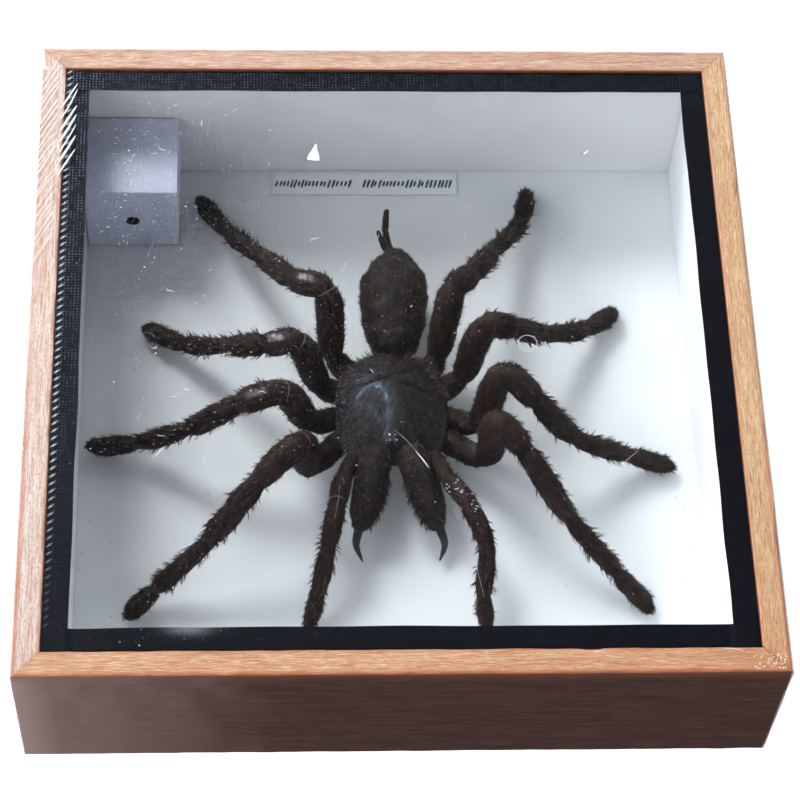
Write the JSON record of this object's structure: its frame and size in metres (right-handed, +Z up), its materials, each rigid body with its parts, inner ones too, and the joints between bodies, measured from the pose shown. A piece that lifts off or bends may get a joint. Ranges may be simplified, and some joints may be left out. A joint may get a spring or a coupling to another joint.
{
  "type": "framed tarantula specimen",
  "caption": "Dried tarantula mounted legs spread in a square glazed wooden case with black tape edging, white lining and clear shrink film.",
  "frame": {"origin": "middle of the underside of the case, on the surface that it rests on", "axes": "+Z up out of the glass, +Y towards the back rail, behind the spider's abdomen, +X to the right with the spider's head towards the viewer"},
  "size_m": [0.2016, 0.2016, 0.0508],
  "materials": {
    "wood": "bare sanded hardwood",
    "board": "raw hardboard",
    "card": "matt white foam board",
    "glass": "clear float glass",
    "tape": "black embossed tape",
    "film": "clear shrink film",
    "foam": "matt foam",
    "paper": "matt paper",
    "carapace": "dried cuticle with short hair",
    "velvet": "dark hairy cuticle",
    "fang": "glossy black horn"
  },
  "bodies": {
    "root": {"rail_front": "wood", "rail_right": "wood", "rail_back": "wood", "rail_left": "wood", "back_panel": "board", "base_card": "card", "glass_pane": "glass", "liner_front": "card", "liner_right": "card", "liner_back": "card", "liner_left": "card", "tape_front": "tape", "tape_right": "tape", "tape_back": "tape", "tape_left": "tape", "shrink_film": "film", "repellent_box": "foam", "label_slip": "paper", "prosoma": "carapace", "abdomen": "velvet", "chelicera_left": "velvet", "chelicera_right": "velvet", "fang_left": "fang", "fang_right": "fang", "leg_1_left": "velvet", "leg_2_left": "velvet", "leg_3_left": "velvet", "leg_4_left": "velvet", "leg_1_right": "velvet", "leg_2_right": "velvet", "leg_3_right": "velvet", "leg_4_right": "velvet", "pedipalp_left": "velvet", "pedipalp_right": "velvet", "spinneret_long": "velvet", "spinneret_short": "velvet"}
  },
  "joints": []
}
